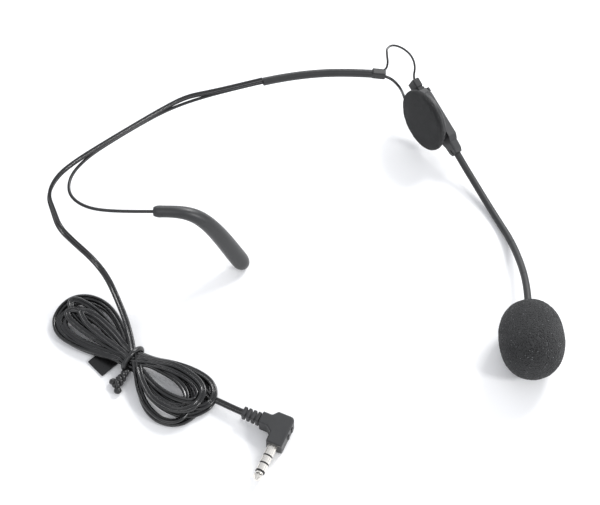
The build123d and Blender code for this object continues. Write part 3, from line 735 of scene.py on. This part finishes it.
def makeScreen():
    mesh = bpy.data.meshes.new("foamScreen")
    bm = bmesh.new()
    bmesh.ops.create_icosphere(bm, subdivisions=7, radius=1.0)
    power = screen["square"]
    for vert in bm.verts:
        side = math.hypot(vert.co.x, vert.co.y)
        length = (side ** power + abs(vert.co.z) ** power) ** (1 / power)
        vert.co /= length
        side = math.hypot(vert.co.x, vert.co.y) * screen["radius"]
        vert.co.x *= screen["radius"]
        vert.co.y *= screen["radius"]
        vert.co.z *= screen["halfLength"]
        # the foam dips in where the stem enters
        if vert.co.z < 0 and side < screen["dimpleRadius"]:
            vert.co.z += screen["dimpleDepth"] * (1 - side / screen["dimpleRadius"]) ** screen["dimplePower"]
    bm.normal_update()
    for vert in bm.verts:
        cell = noise.voronoi(vert.co * screen["cellsPerUnit"])[0][0] - screen["cellMiddle"]
        wave = noise.noise(vert.co * screen["wavesPerUnit"])
        vert.co += vert.normal * (cell * screen["roughness"] + wave * screen["roughness"] * screen["waveShare"])
    bmesh.ops.transform(bm, matrix=axisFrame(screen["centre"], screen["axis"], (1, 0, 0)), verts=bm.verts)
    bm.to_mesh(mesh)
    bm.free()
    obj = addPiece("foamScreen", mesh, "screenFoam", "screen", ("windscreen",))
    return obj


makeScreen()
print("windscreen cut")

# the foam temple pad

pad = {
    "centre": (0.0427, 0.0471, 0.0153),
    "normal": (-0.835, -0.545, 0.075),
    "run": (0.493, -0.801, -0.339),
    "radius": 0.0129,
    "thickness": 0.003,
    "crown": 0.0005,
    "faceShare": 0.86,
    "faceSteps": 44,
    "cornerSteps": 9,
    "cornerDrop": 0.0013,
    "turnSteps": 200,
    "cellsPerUnit": 2600.0,
    "cellMiddle": 0.7,
    "wavesPerUnit": 260.0,
    "smoothBelow": -0.0024,
    "roughness": 0.00012,
}


def makePad():
    mesh = bpy.data.meshes.new("foamPad")
    bm = bmesh.new()
    radius, deep, steps = pad["radius"], pad["thickness"], pad["faceSteps"]
    face = radius * pad["faceShare"]
    outline = [(0.0, 0.0)]
    outline += [(face * k / steps, -pad["crown"] * (k / steps) ** 2) for k in range(1, steps + 1)]
    for k in range(1, pad["cornerSteps"] + 1):
        angle = math.pi / 2 * k / pad["cornerSteps"]
        outline.append((face + (radius - face) * math.sin(angle),
                        -pad["crown"] - pad["cornerDrop"] * (1 - math.cos(angle))))
    outline += [(radius, -0.0021), (radius * 0.995, -0.0025), (radius * 0.97, -deep + 0.0001)]
    outline += [(radius * 0.95, -deep), (radius * 0.5, -deep), (0.0, -deep)]
    verts = [bm.verts.new((x, 0, z)) for x, z in outline]
    edges = [bm.edges.new(pair) for pair in zip(verts, verts[1:])]
    bmesh.ops.spin(bm, geom=verts + edges, cent=(0, 0, 0), axis=(0, 0, 1), angle=math.tau,
                   steps=pad["turnSteps"], use_merge=True)
    bmesh.ops.remove_doubles(bm, verts=bm.verts, dist=1e-6)
    bmesh.ops.recalc_face_normals(bm, faces=bm.faces)
    bm.normal_update()
    for vert in bm.verts:
        cell = noise.voronoi(vert.co * pad["cellsPerUnit"])[0][0] - pad["cellMiddle"]
        wave = noise.noise(vert.co * pad["wavesPerUnit"])
        if vert.co.z > pad["smoothBelow"]:
            vert.co += vert.normal * ((cell + wave) * pad["roughness"])
    bmesh.ops.transform(bm, matrix=axisFrame(pad["centre"], pad["normal"], pad["run"]), verts=bm.verts)
    bm.to_mesh(mesh)
    bm.free()
    obj = addPiece("foamPad", mesh, "padFoam", "frame", ("pad_foam",))
    return obj


makePad()
print("temple pad cut")

# the tie round the waist of the hank, and its twisted ends

tie = {
    "radius": 0.00092,
    "halfWidth": 0.00475,
    "halfHeight": 0.00372,
    "knotStart": (-0.0685, -0.0592, 0.0030),
    "knotEnd": (-0.0715, -0.0642, 0.0019),
    "knotWidth": 0.00085,
    "knotTurns": 1.6,
    "ends": [(-0.0728, -0.0620, 0.0016), (-0.0708, -0.0655, 0.0015)],
}


def tieRing():
    rng = random.Random(5)
    centre, along, across = (Vector(cable[k]) for k in ("tieCentre", "tieAlong", "tieAcross"))
    points, count = [], 26
    for number in range(count + 3):
        angle = math.radians(215) - math.tau * number / count
        swell = 1 + rng.uniform(-0.02, 0.02)
        slip = (number / count - 0.5) * 0.0016
        place = centre + across * tie["halfWidth"] * math.cos(angle) * swell + along * slip
        points.append(place + Vector((0, 0, tie["halfHeight"] * math.sin(angle) * swell)))
    return points


def tieEnds(phase):
    start, end = Vector(tie["knotStart"]), Vector(tie["knotEnd"])
    way = (end - start).normalized()
    side = way.cross(Vector((0, 0, 1))).normalized()
    up = side.cross(way)
    points = []
    for number in range(20):
        share = number / 19
        angle = math.tau * tie["knotTurns"] * share + phase
        width = tie["knotWidth"] * (0.75 + 0.35 * math.sin(math.pi * share))
        points.append(start.lerp(end, share) + width * (side * math.cos(angle) + up * math.sin(angle)))
    return points


def joinMeshes(name, meshes):
    mesh = bpy.data.meshes.new(name)
    bm = bmesh.new()
    for part in meshes:
        bm.from_mesh(part)
        bpy.data.meshes.remove(part)
    bmesh.ops.remove_doubles(bm, verts=bm.verts, dist=weldGap)
    bmesh.ops.recalc_face_normals(bm, faces=bm.faces)
    bm.to_mesh(mesh)
    bm.free()
    return mesh


def ball(centre, radius, stretch=(1, 1, 1)):
    mesh = bpy.data.meshes.new("ball")
    bm = bmesh.new()
    bmesh.ops.create_icosphere(bm, subdivisions=4, radius=radius)
    for vert in bm.verts:
        vert.co *= 1 + 0.10 * noise.noise(vert.co / radius * 1.7 + Vector(centre) * 900)
    bmesh.ops.scale(bm, vec=stretch, verts=bm.verts)
    bmesh.ops.translate(bm, vec=centre, verts=bm.verts)
    bm.to_mesh(mesh)
    bm.free()
    return mesh


def makeTie():
    ring = tubeMesh("tieRing", tieRing(), tie["radius"], steps=5, sides=7)
    addPiece("tieRing", ring, "tieRubber", "frame", ("tie_loop",))
    parts = [tubeMesh("end", tieEnds(phase), tie["radius"] * 0.92, steps=5, sides=6) for phase in (0, math.pi)]
    parts += [ball(place, 0.00128, (1.1, 1.0, 0.95)) for place in tie["ends"]]
    parts += [ball(tie["knotStart"], 0.00150), ball((-0.0702, -0.0616, 0.0026), 0.00150, (1.1, 1, 1))]
    knot = joinMeshes("tieKnot", parts)
    addPiece("tieKnot", knot, "tieRubber", "frame", ("tie_knot",))


makeTie()
print("tie twisted")

# the small plain flag on the cable

flag = {"corner": (-0.0828, -0.0533, 0.00035), "along": (0.70, -0.714, 0), "across": (0.714, 0.70, 0),
        "length": 0.0083, "width": 0.0088, "thickness": 0.00022, "curl": 0.00045, "round": 0.0006}


def makeFlag():
    mesh = bpy.data.meshes.new("cableFlag")
    bm = bmesh.new()
    bmesh.ops.create_grid(bm, x_segments=24, y_segments=24, size=0.5)
    for vert in bm.verts:
        vert.co.x, vert.co.y = vert.co.x + 0.5, vert.co.y + 0.5
        lift = flag["curl"] * ((vert.co.x - 0.5) ** 2 * 2 + 0.35 * math.sin(vert.co.y * 2.6))
        vert.co = (vert.co.x * flag["length"], vert.co.y * flag["width"], lift)
    corners = [v for v in bm.verts if len(v.link_faces) == 1]
    bmesh.ops.bevel(bm, geom=corners, offset=flag["round"], offset_type="OFFSET", segments=4, profile=0.5,
                    affect="VERTICES", material=-1)
    bmesh.ops.solidify(bm, geom=bm.faces[:], thickness=-flag["thickness"])
    bmesh.ops.recalc_face_normals(bm, faces=bm.faces)
    turn = Matrix((flag["along"], flag["across"], (0, 0, 1))).transposed().to_4x4()
    bmesh.ops.transform(bm, matrix=Matrix.Translation(flag["corner"]) @ turn, verts=bm.verts)
    bm.to_mesh(mesh)
    bm.free()
    addPiece("cableFlag", mesh, "labelFilm", "frame", ("cable_label",))


makeFlag()
print("flag fixed")

# the right-angle plug: ribbed boot and moulded shell

plug = {
    "centre": (-0.0114, -0.0814, 0.0036),
    "shaftWay": (-0.4067, -0.9135, 0.0),
    "bootWay": (0.9135, -0.4067, 0.0),
    "thickness": 0.0064,
    "edge": 0.00045,
    "farCorner": 0.0016,
    "outline": [(-0.0042, -0.0030), (-0.0042, 0.0035), (0.0079, 0.0035), (0.0079, -0.0026), (0.0040, -0.0026),
                (0.0024, -0.0046), (0.0024, -0.0080), (-0.0022, -0.0080), (-0.0022, -0.0046)],
    "roundedAt": (-0.0042, 0.0035),
    "nubs": [(-0.0009, 0.0036), (0.0022, 0.0036)],
    "nubSize": (0.0010, 0.0007, 0.0030),
    "nubEdge": 0.00025,
    "ribs": [-0.0150, -0.0132, -0.0114, -0.0096],
    "ribSize": (0.00138, 0.0039, 0.0042),
    "ribEdge": 0.00042,
    "ribShift": 0.0006,
    "coreRadius": 0.00162,
    "coreTaper": (0.92, 1.1),
    "coreLength": 0.0073,
    "coreMiddle": -0.01165,
}


def plugFrame():
    turn = Matrix((plug["shaftWay"], plug["bootWay"], (0, 0, 1))).transposed().to_4x4()
    return Matrix.Translation(plug["centre"]) @ turn


def roundedBox(bm, size, place, edge, segments=3):
    made = bmesh.ops.create_cube(bm, size=1.0)["verts"]
    bmesh.ops.scale(bm, vec=size, verts=made)
    bmesh.ops.translate(bm, vec=place, verts=made)
    edges = list({e for v in made for e in v.link_edges})
    bmesh.ops.bevel(bm, geom=edges, offset=edge, offset_type="OFFSET", segments=segments, profile=0.5,
                    affect="EDGES", material=-1)


def makeShell():
    mesh = bpy.data.meshes.new("plugShell")
    bm = bmesh.new()
    low = -plug["thickness"] / 2
    verts = [bm.verts.new((x, y, low)) for x, y in plug["outline"]]
    face = bm.faces.new(verts)
    top = bmesh.ops.extrude_face_region(bm, geom=[face])["geom"]
    raised = [v for v in top if isinstance(v, bmesh.types.BMVert)]
    bmesh.ops.translate(bm, vec=(0, 0, plug["thickness"]), verts=raised)
    cornerX, cornerY = plug["roundedAt"]
    corner = [e for e in bm.edges if all(abs(v.co.x - cornerX) < 1e-6 and abs(v.co.y - cornerY) < 1e-6
                                         for v in e.verts)]
    bmesh.ops.bevel(bm, geom=corner, offset=plug["farCorner"], offset_type="OFFSET", segments=6, profile=0.5,
                    affect="EDGES", material=-1)
    sharp = [e for e in bm.edges if len(e.link_faces) == 2 and e.calc_face_angle() > math.radians(30)]
    bmesh.ops.bevel(bm, geom=sharp, offset=plug["edge"], offset_type="OFFSET", segments=3, profile=0.5,
                    affect="EDGES", material=-1, clamp_overlap=True)
    for x, y in plug["nubs"]:
        roundedBox(bm, plug["nubSize"], (x, y, 0.0), plug["nubEdge"])
    bmesh.ops.recalc_face_normals(bm, faces=bm.faces)
    bmesh.ops.transform(bm, matrix=plugFrame(), verts=bm.verts)
    bm.to_mesh(mesh)
    bm.free()
    addPiece("plugShell", mesh, "plugPlastic", "frame", ("plug_shell",), smooth=False)


def makeBoot():
    mesh = bpy.data.meshes.new("plugBoot")
    bm = bmesh.new()
    thin, thick = (plug["coreRadius"] * share for share in plug["coreTaper"])
    core = bmesh.ops.create_cone(bm, cap_ends=True, segments=32, radius1=thin, radius2=thick,
                                 depth=plug["coreLength"])["verts"]
    bmesh.ops.rotate(bm, verts=core, cent=(0, 0, 0), matrix=Matrix.Rotation(-math.pi / 2, 3, "X"))
    bmesh.ops.translate(bm, vec=(0, plug["coreMiddle"], 0), verts=core)
    for number, place in enumerate(plug["ribs"]):
        long, wide, high = plug["ribSize"]
        grow = 0.94 + 0.02 * number
        roundedBox(bm, (wide * grow, long, high * grow), (0, place + plug["ribShift"], 0), plug["ribEdge"])
    bmesh.ops.recalc_face_normals(bm, faces=bm.faces)
    bmesh.ops.transform(bm, matrix=plugFrame(), verts=bm.verts)
    bm.to_mesh(mesh)
    bm.free()
    addPiece("plugBoot", mesh, "plugPlastic", "frame", ("plug_boot",), smooth=False)


# the small moulded clip that closes the sleeve's end over the wire and the lead

clip = {
    "centre": (0.0256, 0.0541, 0.0364),
    "along": (0.985, -0.02, -0.12),
    "size": (0.0031, 0.0033, 0.0054),
    "edge": 0.0006,
}


def makeClip():
    mesh = bpy.data.meshes.new("sleeveEnd")
    bm = bmesh.new()
    roundedBox(bm, clip["size"], (0, 0, 0), clip["edge"], segments=4)
    bmesh.ops.recalc_face_normals(bm, faces=bm.faces)
    bmesh.ops.transform(bm, matrix=axisFrame(clip["centre"], clip["along"], (0, 1, 0)), verts=bm.verts)
    bm.to_mesh(mesh)
    bm.free()
    addPiece("sleeveEnd", mesh, "clipPlastic", "frame", ("sleeve_clip",), smooth=False)


makeShell()
makeBoot()
makeClip()
print("plug moulded")

# finishes for the parts that are shown as made

carried = {
    "arm_sleeve": "sleeveRubber",
    "pad_disc": "shellPlastic",
    "pivot_screw": "screwSteel",
    "pivot_washer": "screwSteel",
    "pivot_nut": "screwSteel",
    "housing_base": "shellPlastic",
    "housing_cover": "shellPlastic",
    "cable_grommet": "grommetRubber",
    "junction_board": "boardResin",
    "boom_clamp": "shellPlastic",
    "housing_screws": "screwSteel",
    "mic_collar": "grommetRubber",
    "mic_holder": "shellPlastic",
    "mic_gasket": "grommetRubber",
    "mic_capsule": "capsuleAluminium",
    "mic_grille": "screwSteel",
    "plug_sleeve": "contactMetal",
    "plug_ring_2": "contactMetal",
    "plug_ring_1": "contactMetal",
    "plug_insulators": "insulator",
    "plug_tip": "contactMetal",
}
for node, material in carried.items():
    dress(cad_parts[node], material)
print("carried parts finished")
